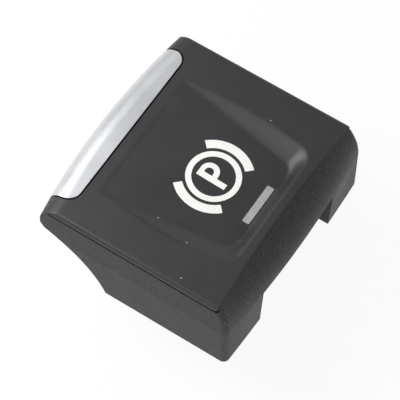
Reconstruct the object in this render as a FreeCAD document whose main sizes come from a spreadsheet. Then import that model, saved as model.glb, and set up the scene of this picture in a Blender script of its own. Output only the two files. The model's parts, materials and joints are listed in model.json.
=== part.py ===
"""Electric parking brake switch: a skirted rocker lever on its plug-in housing.

Millimetres, +Z up. The origin is the middle of the lever's footprint on the seat
of the housing, +Y points to the finger lip and +X to the right of the driver.
"""
import FreeCAD, Part
import math
import os
import re
import Sketcher
from FreeCAD import Placement, Rotation, Vector

doc = FreeCAD.newDocument("parking_brake_switch")
dim = doc.addObject("Spreadsheet::Sheet", "dim")

# Driving dimensions: alias, value in millimetres or degrees, meaning
SIZES = [
    ("lever_width", 45.0, "width over the skirt"),
    ("lever_length", 42.4, "rear wall to nose of the finger lip"),
    ("lever_height", 18.2, "skirt foot to top of the panel"),
    ("skirt_lift", 11.0, "skirt foot above the seat of the housing"),
    ("skirt_overlap", 8.6, "skirt foot to the top of the housing"),
    ("crease_height", 10.8, "skirt foot to the crease of its walls"),
    ("side_taper", 0.5, "how far each side leans in above the crease"),
    ("foot_taper", 0.05, "how far each side leans in below the crease"),
    ("wall", 2.0, "wall of the skirt"),
    ("deck", 1.8, "deck of the lever under the panel"),
    ("corner_radius", 1.2, "upright rear corners of the skirt"),
    ("rear_bow", 1.35, "how far the crease bows rearwards between the sides"),
    ("rear_roll", 4.3, "how far the rear wall rolls in from crease to panel"),
    ("rear_dip", 1.25, "how far the rear edge of the panel dips forwards"),
    ("rear_foot", 0.7, "how far the rear foot stands in from the crease"),
    ("foot_bow", 0.8, "how much less the rear foot bows than the crease"),
    ("notch_width", 23.2, "notch in the rear wall"),
    ("nose_radius", 4.0, "roll of the finger lip"),
    ("nose_sweep", 2.0, "how far the nose draws back at the sides"),
    ("lip_depth", 6.2, "top of the panel to the underside of the lip"),
    ("lip_edge", 0.9, "bevel under the nose"),
    ("scoop_radius", 19.3, "hollow of the finger grip"),
    ("grip_gap", 5.3, "front of the housing to the foot of the finger grip"),
    ("cavity_front", 7.4, "nose to the hollow of the lever"),
    ("cavity_lean", 0.3, "share of the rear roll that lies under the deck"),
    ("deck_grow", 1.0, "deck round the thumb pad"),
    ("panel_grow", 0.3, "panel round the thumb pad"),
    ("panel_thick", 1.2, "painted top panel"),
    ("panel_edge", 0.7, "rounding of the panel's side edges"),
    ("seam", 0.2, "open seam round the trim"),
    ("rear_seam", 0.04, "close seam behind the panel"),
    ("groove_depth", 0.9, "depth of the shadow groove under the panel"),
    ("groove_height", 0.3, "height of the shadow groove"),
    ("groove_rear", 2.5, "pad's rear rim to the rear end of the shadow groove"),
    ("groove_front", 2.3, "nose to the front end of the shadow groove"),
    ("trim_side", 4.3, "side of the lever to the side of the silver trim"),
    ("trim_reach", 6.35, "nose to the rear edge of the trim"),
    ("trim_corner", 2.4, "rear corners of the trim"),
    ("trim_thick", 0.9, "thickness of the trim"),
    ("trim_foot", 5.3, "top of the panel to the lower edge of the trim"),
    ("pad_front", 8.9, "nose to the front of the thumb pad"),
    ("pad_rear", 6.0, "rear wall to the rear rim of the thumb pad"),
    ("pad_width_front", 27.2, "rim of the pad at its front"),
    ("pad_width_rear", 27.6, "rim of the pad at its rear"),
    ("pad_swell", 75.0, "radius of the swelling sides of the rim"),
    ("pad_corner", 3.2, "rear corners of the pad's rim"),
    ("floor_width_front", 26.8, "floor of the pad at its front"),
    ("floor_width_rear", 19.8, "floor of the pad at its rear"),
    ("floor_inset", 1.9, "slope from the rear rim to the floor of the pad"),
    ("floor_corner", 2.2, "rear corners of the floor of the pad"),
    ("floor_front", 0.6, "front of the rim to the front of the floor"),
    ("pad_tilt", 4.0, "slope of the pad's floor in degrees"),
    ("lens_length", 8.5, "indicator lens"),
    ("lens_width", 1.4, "indicator lens"),
    ("lens_rear", 1.2, "floor's rear edge to the middle of the lens"),
    ("sign_lens", 9.5, "middle of the lens to the middle of the sign"),
    ("lens_rim", 0.8, "flange round the lens under the panel"),
    ("lens_flange", 0.9, "thickness of the lens flange"),
    ("diffuser_x", 15.0, "white diffuser under the sign, width"),
    ("diffuser_y", 13.0, "white diffuser under the sign, length"),
    ("pull_angle", 8.0, "lever pulled up, degrees"),
    ("push_angle", 6.0, "lever pushed down, degrees"),
    ("pivot_rear", 8.7, "back of the housing to the pivot axis"),
    ("pivot_height", 6.0, "skirt foot to the pivot axis"),
    ("pin_radius", 1.5, "pivot pins"),
    ("pin_play", 0.05, "radial play of the pins in the lever"),
    ("pin_boss", 3.6, "radius of the bosses round the pins"),
    ("boss_gap", 0.6, "housing to the lever's bosses"),
    ("pin_seat", 3.8, "length of a pin inside the housing"),
    ("pin_cover", 1.6, "side of the lever to the end of a pin"),
    ("pin_end", 0.2, "end play of a pin in the lever"),
    ("pin_wall", 1.0, "housing round a pin"),
    ("base_side", 3.1, "inside of the lever to the side of the housing"),
    ("base_length", 17.8, "housing"),
    ("base_rear", 5.9, "rear wall of the lever to the back of the housing"),
    ("base_wall", 1.5, "walls of the housing"),
    ("base_top", 1.6, "top wall of the housing"),
    ("base_round", 1.5, "upright edges of the housing"),
    ("stop_thick", 1.2, "stop ribs of the lever"),
    ("stop_edge", 0.1, "back of the housing to the rear stop rib"),
    ("stop_inset", 0.7, "front of the housing to the front stop rib"),
    ("stop_side", 1.8, "side of the housing to the inner end of a stop rib"),
    ("stop_gap", 0.03, "stop rib to the housing at the end of its travel"),
    ("foot_length", 7.0, "mounting foot in front of the housing"),
    ("foot_thick", 2.5, "mounting foot"),
    ("foot_corner", 3.0, "corners of the mounting foot"),
    ("mount_side", 4.4, "side of the housing to a mounting hole"),
    ("mount_radius", 1.75, "mounting holes for M3 screws"),
    ("rim_gap", 0.92, "plunger well to the light rim"),
    ("rim_side", 1.0, "side walls of the light rim"),
    ("rim_height", 3.0, "light rim on the housing"),
    ("rim_wall", 0.9, "light rim on the housing"),
    ("cover_thick", 1.6, "bottom cover"),
    ("fit_gap", 0.1, "clearance of pieces set into the housing"),
    ("board_thick", 1.6, "circuit board"),
    ("socket_length", 15.2, "inside of the plug socket"),
    ("socket_width", 6.4, "inside of the plug socket"),
    ("socket_wall", 1.2, "collar of the plug socket"),
    ("socket_floor", 1.4, "floor of the plug socket"),
    ("socket_offset", 1.0, "pivot axis to the middle of the socket"),
    ("terminal_count", 6, "terminals in a row"),
    ("terminal_pitch", 2.54, "distance of the terminals"),
    ("terminal_side", 0.64, "section of a terminal"),
    ("terminal_free", 3.8, "length of a terminal in the socket"),
    ("screw_shift", 0.1, "plungers to the cover screw between them, sideways"),
    ("screw_radius", 1.1, "shank of the cover screws"),
    ("screw_head", 1.9, "head radius of the cover screws"),
    ("screw_head_height", 1.4, "head height of the cover screws"),
    ("screw_sink", 0.7, "head of the cover screws in the cover"),
    ("screw_play", 0.1, "radial play of the cover screws"),
    ("screw_pilot", 0.9, "pilot holes of the cover screws"),
    ("pilot_roof", 3.3, "end of a pilot hole to the top of the housing"),
    ("pillar_radius", 2.5, "screw pillars"),
    ("plunger_arm", 5.3, "pivot axis to each plunger"),
    ("plunger_radius", 2.3, "plungers"),
    ("plunger_play", 0.08, "radial play of the plungers"),
    ("plunger_gap", 0.1, "play between lever and plunger"),
    ("plunger_skirt", 5.3, "length of a plunger's hollow part"),
    ("plunger_crown", 1.2, "crown of a plunger"),
    ("plunger_tip", 0.8, "flat tip of a plunger's tapered top"),
    ("plunger_taper", 0.34, "height of a plunger's tapered top"),
    ("thrust_radius", 3.0, "thrust pads of the lever"),
    ("plunger_bore", 1.85, "spring bore of a plunger"),
    ("stem_radius", 0.8, "stem of a plunger"),
    ("pad_drop", 7.2, "pivot axis to the lever's thrust pads"),
    ("well_wall", 0.9, "wall of the plunger wells"),
    ("well_collar", 1.2, "collar of the wells above the housing"),
    ("well_floor", 1.0, "floor of the wells"),
    ("well_depth", 2.0, "top of the housing to the floor of the wells"),
    ("spring_radius", 1.5, "mean radius of the return springs"),
    ("spring_wire", 0.5, "wire of the return springs"),
    ("spring_turns", 4.0, "turns of the return springs"),
    ("switch_length", 8.2, "snap switches"),
    ("switch_width", 3.4, "snap switches"),
    ("switch_height", 5.0, "snap switches"),
    ("switch_gap", 0.3, "snap switch to the wall of the housing"),
    ("switch_roof", 1.8, "snap switch to the top wall of the housing"),
    ("button_radius", 0.75, "buttons of the snap switches"),
    ("button_out", 1.0, "button above its switch at rest"),
    ("button_in", 2.4, "button inside its switch at rest"),
    ("button_play", 0.1, "radial play of the buttons"),
    ("button_room", 0.9, "room under a button in its switch"),
    ("stem_play", 0.2, "radial play of a stem in the floor of its well"),
    ("guide_stem", 6.0, "sign's light guide, length of its stem"),
    ("guide_head_y", 9.6, "sign's light guide, length of its head"),
    ("bar_ratio", 1.5, "width of the sign's stem over that of the indicator's"),
    ("bar_stem_y", 2.0, "indicator's light guide, length of its stem"),
    ("bar_inset", 1.4, "side of the sign's head to that of the indicator's"),
    ("bar_head_y", 2.6, "indicator's light guide, length of its head"),
    ("guide_flange", 0.8, "flange of the light guides"),
    ("guide_step", 0.2, "flange beyond the head of a light guide"),
    ("guide_gap", 0.3, "light rim round the heads of the light guides"),
    ("guide_lower", 0.2, "light guides below the rim's top"),
    ("led_length", 3.2, "lamps on the board"),
    ("led_width", 1.6, "lamps on the board"),
    ("led_height", 0.8, "lamps on the board"),
    ("led_gap", 0.4, "lamp to its light guide"),
    ("spare", 1.0, "how far a cutting shape reaches past the solid it cuts"),
]

# Places that follow from the sizes, in the frame of the part
PLACES = [
    ("half", "lever_width / 2"),
    ("nose_y", "lever_length / 2"),
    ("rear_y", "-lever_length / 2"),
    ("top_z", "skirt_lift + lever_height"),
    ("crease_z", "skirt_lift + crease_height"),
    ("panel_z", "top_z - panel_thick"),
    ("under_z", "panel_z - deck"),
    ("lip_z", "top_z - lip_depth"),
    ("back_y", "rear_y + base_rear"),
    ("front_y", "back_y + base_length"),
    ("pivot_y", "back_y + pivot_rear"),
    ("pivot_z", "skirt_lift + pivot_height"),
    ("scoop_y", "front_y + grip_gap"),
    ("pad_front_y", "nose_y - pad_front"),
    ("pad_rear_y", "rear_y + pad_rear"),
    ("trim_y", "nose_y - trim_reach"),
    ("trim_half", "half - trim_side"),
    ("lens_y", "pad_rear_y + floor_inset + lens_rear"),
    ("sign_y", "lens_y + sign_lens"),
    ("apply_y", "pivot_y - plunger_arm"),
    ("release_y", "pivot_y + plunger_arm"),
    ("thrust_z", "pivot_z + pad_drop"),
    ("base_height", "skirt_lift + skirt_overlap"),
    ("well_z", "base_height - well_depth"),
    ("switch_top", "base_height - base_top - switch_roof"),
    ("board_top", "switch_top - switch_height"),
    ("board_height", "board_top - board_thick"),
    ("floor_rear", "pad_rear_y + floor_inset - pad_front_y"),
    ("cover_back", "back_y + base_wall + fit_gap"),
    ("cover_front", "front_y - base_wall - fit_gap"),
    ("base_half", "half - wall - base_side"),
    ("cover_side", "base_half - base_wall - fit_gap"),
    ("mount_x", "base_half - mount_side"),
    ("plunger_x", "base_half - base_wall - switch_gap - switch_length / 2"),
    ("screw_x", "plunger_x + screw_shift"),
    ("rim_half", "plunger_x - plunger_radius - plunger_play - well_wall - rim_gap"),
    ("guide_half", "rim_half - rim_side - guide_gap"),
    ("bar_half", "guide_half - bar_inset"),
    ("guide_y", "front_y - rim_wall - guide_gap - guide_head_y / 2"),
    ("guide_foot", "board_top + led_height + led_gap"),
    ("crown_z", "thrust_z - plunger_gap"),
    ("seat_z", "crown_z - plunger_crown"),
    ("rear_stop_arm", "pivot_y - back_y - stop_edge"),
    ("front_stop_arm", "front_y - stop_inset - pivot_y"),
    ("stop_rise", "base_height + stop_gap - pivot_z"),
    ("rear_stop_z", "pivot_z + (stop_rise + rear_stop_arm * sin(pull_angle)) / cos(pull_angle)"),
    ("front_stop_z", "pivot_z + (stop_rise + front_stop_arm * sin(push_angle)) / cos(push_angle)"),
    ("rim_z", "base_height + rim_height"),
    ("guide_z", "rim_z - guide_lower"),
    ("socket_y", "pivot_y - socket_offset"),
    ("bow_radius", "((half + spare) ^ 2 + nose_sweep ^ 2) / (2 * nose_sweep)"),
    ("chord_y", "nose_y - lip_edge - scoop_y"),
    ("chord_z", "lip_z - skirt_lift"),
    ("chord", "sqrt(chord_y ^ 2 + chord_z ^ 2)"),
    ("scoop_rise", "sqrt(scoop_radius ^ 2 - chord ^ 2 / 4)"),
    ("scoop_mid_y", "scoop_y + chord_y / 2 + chord_z / chord * scoop_rise"),
    ("scoop_mid_z", "skirt_lift + chord_z / 2 - chord_y / chord * scoop_rise"),
    ("cavity_y", "nose_y - cavity_front"),
]
NAMES = {alias for alias, *rest in SIZES} | {alias for alias, formula in PLACES}

for row, (alias, value, meaning) in enumerate(SIZES, start=1):
    dim.set(f"A{row}", str(value))
    dim.set(f"B{row}", meaning)
    dim.setAlias(f"A{row}", alias)
for row, (alias, formula) in enumerate(PLACES, start=len(SIZES) + 1):
    dim.set(f"A{row}", "=" + formula)
    dim.setAlias(f"A{row}", alias)
doc.recompute()

parts = {}


def tie(formula):
    """A formula of size names as an expression that reads the sheet."""
    return re.sub(r"[a-z_]+", lambda word: ("dim." if word[0] in NAMES else "") + word[0], formula)


def number(formula):
    """The value of a formula at the sizes in the sheet."""
    value = dim.evalExpression(tie(formula))
    return float(getattr(value, "Value", value))


def place(thing, x="0", y="0", z="0"):
    """Tie the position of an object to formulas."""
    for axis, formula in zip("xyz", (x, y, z)):
        thing.setExpression("Placement.Base." + axis, tie(formula))
    return thing


def node(label, thing):
    """Name a finished sub-part: the label is also the name of its file."""
    thing.Label = label
    parts[label] = thing
    return thing


def block(x, y, z, name="block"):
    """A box between two formulas along each axis."""
    box = place(doc.addObject("Part::Box", name), x[0], y[0], z[0])
    for side, (low, high) in zip(("Length", "Width", "Height"), (x, y, z)):
        box.setExpression(side, tie(f"({high}) - ({low})"))
    return box


def rod(radius, x, y, z, length, along="Z", name="rod"):
    """A cylinder that starts at a point and runs along +X, +Y or +Z."""
    turn = {"X": Rotation(Vector(0, 1, 0), 90), "Y": Rotation(Vector(1, 0, 0), -90), "Z": Rotation()}
    bar = doc.addObject("Part::Cylinder", name)
    bar.Placement = Placement(Vector(), turn[along])
    place(bar, x, y, z)
    bar.setExpression("Radius", tie(radius))
    bar.setExpression("Height", tie(length))
    return bar


def fuse(*shapes, name="fuse"):
    """One solid out of several that meet."""
    whole = doc.addObject("Part::MultiFuse", name)
    whole.Shapes = list(shapes)
    whole.Refine = True
    return whole


def cut(base, *tools, name="cut"):
    """A solid with other solids taken away."""
    rest = doc.addObject("Part::Cut", name)
    rest.Base = base
    rest.Tool = tools[0] if len(tools) == 1 else fuse(*tools)
    rest.Refine = True
    return rest


def common(first, second, name="common"):
    """What two solids share."""
    shared = doc.addObject("Part::Common", name)
    shared.Base, shared.Tool = first, second
    shared.Refine = True
    return shared


def round_off(base, radius, chosen, name="rounded"):
    """Round the edges of a solid that the test picks out."""
    doc.recompute()
    size = number(radius)
    edges = [(i, size, size) for i, edge in enumerate(base.Shape.Edges, start=1) if chosen(edge)]
    rounded = doc.addObject("Part::Fillet", name)
    rounded.Base = base
    rounded.Edges = edges
    return rounded


def bevel(base, width, chosen, name="bevelled"):
    """Bevel the edges of a solid that the test picks out."""
    doc.recompute()
    size = number(width)
    edges = [(i, size, size) for i, edge in enumerate(base.Shape.Edges, start=1) if chosen(edge)]
    bevelled = doc.addObject("Part::Chamfer", name)
    bevelled.Base = base
    bevelled.Edges = edges
    return bevelled


def sketch(body, plane, corners, lift="0", shift="0", tilt="0"):
    """A closed outline on an origin plane of a body, lifted, shifted and tilted.

    Each corner is a pair of formulas. A third item makes the edge to the next corner
    an arc: its radius, with a minus sign where the arc bulges to the right of its chord.
    """
    flat = body.newObject("Sketcher::SketchObject", "outline")
    origin = [item for item in body.Origin.OriginFeatures if item.Role == plane]
    flat.AttachmentSupport = (origin[0], "")
    flat.MapMode = "FlatFace"
    start = Vector(0, number(shift), number(lift))
    flat.AttachmentOffset = Placement(start, Rotation(Vector(1, 0, 0), number(tilt)))
    flat.setExpression("AttachmentOffset.Base.y", tie(shift))
    flat.setExpression("AttachmentOffset.Base.z", tie(lift))
    if tilt != "0":
        flat.setExpression("AttachmentOffset.Rotation.Angle", tie(tilt))
    points = [Vector(number(corner[0]), number(corner[1]), 0) for corner in corners]
    ends = []
    for i, corner in enumerate(corners):
        here, there = points[i], points[(i + 1) % len(points)]
        if len(corner) == 2:
            flat.addGeometry(Part.LineSegment(here, there), False)
            ends.append((1, 2))
            continue
        radius = number(corner[2])
        chord = there - here
        left = Vector(-chord.y, chord.x, 0).normalize()
        rise = (radius ** 2 - chord.Length ** 2 / 4) ** 0.5
        middle = (here + there) * 0.5 - left * (rise if radius > 0 else -rise)
        first, last = (there, here) if radius > 0 else (here, there)
        start, stop = (math.atan2(end.y - middle.y, end.x - middle.x) for end in (first, last))
        circle = Part.Circle(middle, Vector(0, 0, 1), abs(radius))
        flat.addGeometry(Part.ArcOfCircle(circle, start, stop), False)
        ends.append((2, 1) if radius > 0 else (1, 2))
    for i, corner in enumerate(corners):
        after = (i + 1) % len(corners)
        flat.addConstraint(Sketcher.Constraint("Coincident", i, ends[i][1], after, ends[after][0]))
        for kind, formula, value in zip(("DistanceX", "DistanceY"), corner, (points[i].x, points[i].y)):
            row = flat.addConstraint(Sketcher.Constraint(kind, -1, 1, i, ends[i][0], value))
            flat.setExpression(f"Constraints[{row}]", tie(formula))
        if len(corner) == 3:
            row = flat.addConstraint(Sketcher.Constraint("Radius", i, abs(number(corner[2]))))
            flat.setExpression(f"Constraints[{row}]", tie(f"abs({corner[2]})"))
    return flat


def new_body(name):
    return doc.addObject("PartDesign::Body", name)


def pad(body, outline, length, both_ways=False):
    """Extrude an outline away from its plane, or to both sides of it."""
    solid = body.newObject("PartDesign::Pad", "pad")
    solid.Profile = outline
    solid.setExpression("Length", tie(length))
    solid.SideType = "Symmetric" if both_ways else "One side"
    return solid


def loft(body, *outlines, ruled=False):
    """A solid through outlines with the same number of edges."""
    solid = body.newObject("PartDesign::AdditiveLoft", "loft")
    solid.Profile = outlines[0]
    solid.Sections = list(outlines[1:])
    solid.Ruled = ruled
    return solid


def across(name, outline, reach):
    """A solid through three upright outlines: left side, middle and right side.

    The outline is a function of how far the section stands to the side, 0 or 1.
    """
    body = new_body(name)
    stations = (f"-({reach})", 1), ("0", 0), (reach, 1)
    loft(body, *(sketch(body, "YZ_Plane", outline(side), lift=x) for x, side in stations))
    return body


# Lever form: the outside of the lever with its panel and trim on
def lever_outline(side):
    """Upright section of the lever without its nose, 0 in the middle and 1 at a side."""
    crease = f"(rear_y + {side} * rear_bow)"
    roll = f"(rear_roll - {side} * (rear_dip + rear_bow))"
    foot = f"(rear_y + rear_foot + {side} * (rear_bow - foot_bow))"
    rise = "(lever_height - crease_height)"
    return [
        ("nose_y + spare", "skirt_lift"),
        (foot, "skirt_lift"),
        (crease, "crease_z", f"({rise} ^ 2 + {roll} ^ 2) / (2 * {roll})"),
        (f"{crease} + {roll}", "top_z"),
        ("nose_y + spare", "top_z"),
    ]


def bowed_block(name, inset, low, high):
    """A block whose front bows forwards like the nose, drawn back by an inset."""
    body = new_body(name)
    front = f"nose_y - nose_sweep - {inset}"
    outline = [
        ("-half - spare", "rear_y - spare"),
        ("half + spare", "rear_y - spare"),
        ("half + spare", front, f"-(bow_radius - {inset})"),
        ("-half - spare", front),
    ]
    pad(body, sketch(body, "XY_Plane", outline, lift=low), f"{high} - ({low})")
    return body


def bowed_rod(radius, name):
    """A round bar at the middle of the finger grip that bows forwards like the nose."""
    bar = place(doc.addObject("Part::Torus", name), "0", "nose_y - bow_radius", "scoop_mid_z")
    bar.setExpression("Radius1", tie("bow_radius - nose_y + scoop_mid_y"))
    bar.setExpression("Radius2", tie(radius))
    return bar


def top_front(edge):
    """The upper edge of a nose."""
    box = edge.BoundBox
    return box.ZLength < 0.1 and box.ZMin > number("under_z") and box.YMin > number("trim_y")


def lip_front(edge):
    """The lower edge of the finger lip."""
    box = edge.BoundBox
    level = number("lip_z - spare") < box.ZMin and box.ZMax < number("panel_z")
    return level and box.XLength > number("half")


def rear_corner(edge):
    box = edge.BoundBox
    return box.ZLength > 2 and box.YMax < number("rear_y / 2") and box.XLength < 2


lever_loft = across("lever_loft", lever_outline, "half + spare")
lever_front = new_body("lever_front")
pad(lever_front, sketch(lever_front, "XZ_Plane", [
    ("-half + foot_taper", "skirt_lift - spare"),
    ("half - foot_taper", "skirt_lift - spare"),
    ("half", "crease_z"),
    ("half - side_taper", "panel_z"),
    ("half - side_taper", "top_z + spare"),
    ("-half + side_taper", "top_z + spare"),
    ("-half + side_taper", "panel_z"),
    ("-half", "crease_z"),
]), "2 * lever_length", both_ways=True)
lever_crown = new_body("lever_crown")
pad(lever_crown, sketch(lever_crown, "XZ_Plane", [
    ("-half - spare", "skirt_lift - spare"),
    ("half + spare", "skirt_lift - spare"),
    ("half + spare", "top_z - panel_edge"),
    ("half - side_taper", "top_z - panel_edge", "-panel_edge"),
    ("half - side_taper - panel_edge", "top_z"),
    ("-half + side_taper + panel_edge", "top_z", "-panel_edge"),
    ("-half + side_taper", "top_z - panel_edge"),
    ("-half - spare", "top_z - panel_edge"),
]), "2 * lever_length", both_ways=True)
lever_plan = bowed_block("lever_plan", "0", "skirt_lift - spare", "top_z")
lever_nose = round_off(lever_plan, "nose_radius", top_front)
lever_sides = common(common(lever_loft, lever_nose), lever_front)
lever_corners = round_off(lever_sides, "corner_radius", rear_corner)
grip = bowed_rod("scoop_radius", "grip")
lever_form = bevel(cut(common(lever_corners, lever_crown), grip), "lip_edge", lip_front, name="lever_form")


# Thumb pad: the hollow in the panel and the shapes that follow it below
def dish(name, drop, grow):
    """The hollow of the thumb pad, moved down and widened."""
    body = new_body(name)
    rim_x, rear_x = f"(pad_width_front / 2 + {grow})", f"(pad_width_rear / 2 + {grow})"
    low_x, end_x = f"(floor_width_front / 2 + {grow})", f"(floor_width_rear / 2 + {grow})"
    bend, turn = f"(pad_corner + {grow})", f"(floor_corner + {grow})"
    rear_y, low_rear = f"(pad_rear_y - {grow})", f"(floor_rear - {grow})"
    front, low_front = f"(pad_front_y + {grow})", f"({grow} - floor_front)"
    rim = [
        (f"-{rim_x}", front, "-pad_swell"),
        (f"-{rear_x}", f"{rear_y} + {bend}", f"-{bend}"),
        (f"-{rear_x} + {bend}", rear_y),
        (f"{rear_x} - {bend}", rear_y, f"-{bend}"),
        (rear_x, f"{rear_y} + {bend}", "-pad_swell"),
        (rim_x, front),
    ]
    floor = [
        (f"-{low_x}", low_front),
        (f"-{end_x}", f"{low_rear} + {turn}", f"-{turn}"),
        (f"-{end_x} + {turn}", low_rear),
        (f"{end_x} - {turn}", low_rear, f"-{turn}"),
        (end_x, f"{low_rear} + {turn}"),
        (low_x, low_front),
    ]
    loft(body, sketch(body, "XY_Plane", rim, lift=f"top_z - {drop}"),
         sketch(body, "XY_Plane", floor, lift=f"top_z - {drop} / cos(pad_tilt)",
                shift="pad_front_y", tilt="pad_tilt"))
    return body


def slab(name, x, y, middle, depth, thick):
    """A flat block parallel to the floor of the pad, its underside at a depth square to it."""
    body = new_body(name)
    start = f"{middle} - pad_front_y + ({depth}) * tan(pad_tilt)"
    low, high = f"{start} - ({y}) / 2", f"{start} + ({y}) / 2"
    corners = [(f"-({x}) / 2", low), (f"({x}) / 2", low), (f"({x}) / 2", high), (f"-({x}) / 2", high)]
    pad(body, sketch(body, "XY_Plane", corners, lift=f"top_z - ({depth}) / cos(pad_tilt)",
                     shift="pad_front_y", tilt="pad_tilt"), thick)
    return body


def panel_prism(name, gap):
    """Everything above the deck in front of the panel's rear edge."""
    body = new_body(name)
    edge = f"rear_y + rear_roll - rear_dip + {gap}"
    outline = [
        ("-half - spare", "nose_y + spare"),
        ("-half - spare", edge, "((half + spare) ^ 2 + rear_dip ^ 2) / (2 * rear_dip)"),
        ("half + spare", edge),
        ("half + spare", "nose_y + spare"),
    ]
    pad(body, sketch(body, "XY_Plane", outline, lift="panel_z"), "panel_thick + spare")
    return body


def trim_prism(name, gap):
    """The outline of the trim seen from above, down to the lower edge of the trim."""
    body = new_body(name)
    side, edge, bend = f"(trim_half + {gap})", f"(trim_y - {gap})", f"(trim_corner + {gap})"
    outline = [
        (f"-{side}", "nose_y + spare"),
        (f"-{side}", f"{edge} + {bend}", f"-{bend}"),
        (f"-{side} + {bend}", edge),
        (f"{side} - {bend}", edge, f"-{bend}"),
        (side, f"{edge} + {bend}"),
        (side, "nose_y + spare"),
    ]
    level = f"top_z - trim_foot - {gap}"
    pad(body, sketch(body, "XY_Plane", outline, lift=level), f"trim_foot + {gap} + spare")
    return body


def trim_core(name):
    """The lip under the trim."""
    block_under = bowed_block(name, "trim_thick", "lip_z - deck", "panel_z")
    return round_off(block_under, "nose_radius - panel_thick", top_front)


# Lever: body with its deck, pivot bosses, thrust pads and stop ribs
def cavity_outline(side):
    """Upright section of the hollow under the deck."""
    crease = f"(rear_y + {side} * rear_bow + wall)"
    lean = f"cavity_lean * (rear_roll - {side} * (rear_dip + rear_bow))"
    foot = f"rear_y + rear_foot + {side} * (rear_bow - foot_bow) + wall"
    return [
        ("cavity_y", "skirt_lift - spare"),
        (foot, "skirt_lift - spare"),
        (crease, "crease_z"),
        (f"{crease} + {lean}", "under_z"),
        ("cavity_y", "under_z"),
    ]


grip_wall = bowed_rod("scoop_radius + wall", "grip_wall")
cavity = cut(across("cavity_loft", cavity_outline, "half - wall"), grip_wall, name="cavity")
pad_under = dish("pad_under", "panel_thick", "panel_grow")
added = [dish("deck_dish", "(panel_thick + deck)", "deck_grow")]
for end in (-1, 1):
    boss_x, boss_length = "base_half + boss_gap", "half - wall / 2 - base_half - boss_gap"
    added.append(rod("pin_boss", boss_x if end > 0 else f"-({boss_x}) - ({boss_length})",
                     "pivot_y", "pivot_z", boss_length, along="X", name="pivot_boss"))
    for row in ("apply_y", "release_y"):
        added.append(rod("thrust_radius", f"{end} * plunger_x", row, "thrust_z",
                         "under_z - thrust_z", name="thrust_pad"))
    inner, outer = "base_half - stop_side", "half - wall / 2"
    side = (inner, outer) if end > 0 else (f"-({outer})", f"-({inner})")
    rear_low, front_high = "back_y + stop_edge", "front_y - stop_inset"
    added.append(block(side, (rear_low, f"{rear_low} + stop_thick"),
                       ("rear_stop_z", "under_z + deck / 2"), name="rear_stop"))
    added.append(block(side, (f"{front_high} - stop_thick", front_high),
                       ("front_stop_z", "under_z + deck / 2"), name="front_stop"))
lever_solid = fuse(cut(lever_form, cavity), *added)

taken = [panel_prism("panel_room", "0"), pad_under]
taken.append(cut(trim_prism("trim_room", "seam"), trim_core("trim_core")))
taken.append(block(("-notch_width / 2", "notch_width / 2"), ("rear_y - spare", "back_y - boss_gap"),
                   ("skirt_lift - spare", "crease_z"), name="notch"))
below = "panel_thick + deck + spare"
taken.append(slab("diffuser_window", "diffuser_x + 2 * fit_gap", "diffuser_y + 2 * fit_gap",
                  "sign_y", below, "deck + spare"))
taken.append(slab("lens_window", "lens_length + 2 * (lens_rim + fit_gap)",
                  "lens_width + 2 * (lens_rim + fit_gap)", "lens_y", below, "deck + spare"))
for end in (-1, 1):
    hole_length = "half - pin_cover + pin_end - base_half"
    hole_x = "base_half" if end > 0 else f"-base_half - ({hole_length})"
    taken.append(rod("pin_radius + pin_play", hole_x, "pivot_y", "pivot_z", hole_length,
                     along="X", name="pin_hole"))
    inner, outer = "half - side_taper - groove_depth", "half + spare"
    side = (inner, outer) if end > 0 else (f"-({outer})", f"-({inner})")
    taken.append(block(side, ("pad_rear_y - groove_rear", "nose_y - groove_front"),
                       ("panel_z - groove_height", "panel_z"), name="shadow_groove"))
lever_body = node("lever_body", cut(lever_solid, *taken))

# Panel, trim, diffuser and lens of the lever
lens = slab("lens_bar", "lens_length", "lens_width", "lens_y", "panel_thick", "panel_thick")
panel_slab = fuse(common(lever_form, panel_prism("panel_plan", "rear_seam")), pad_under)
top_panel = node("top_panel", cut(panel_slab, dish("pad_hollow", "0", "0"),
                                  trim_prism("trim_gap", "seam"), lens))
trim_solid = common(lever_form, trim_prism("trim_plan", "0"))
trim_strip = node("trim_strip", cut(trim_solid, trim_core("trim_back")))
lens_flange = slab("lens_flange", "lens_length + 2 * lens_rim", "lens_width + 2 * lens_rim",
                   "lens_y", "panel_thick + lens_flange", "lens_flange")
indicator_lens = node("indicator_lens", fuse(lens, lens_flange))
sign_diffuser = node("sign_diffuser", slab("diffuser_plate", "diffuser_x", "diffuser_y", "sign_y",
                                           "panel_thick + deck", "deck"))


# Housing: box open below, with plunger wells, screw pillars, light rim and foot
def upright(edge):
    box = edge.BoundBox
    return box.ZLength > 2 and box.XLength < 0.1 and box.YLength < 0.1


def foot_edge(edge):
    box = edge.BoundBox
    return upright(edge) and box.YMin > number("front_y + spare")


def shared_x(offset, end):
    """A formula for a place on the left or the right of the middle."""
    return f"{end} * ({offset})"


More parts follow.
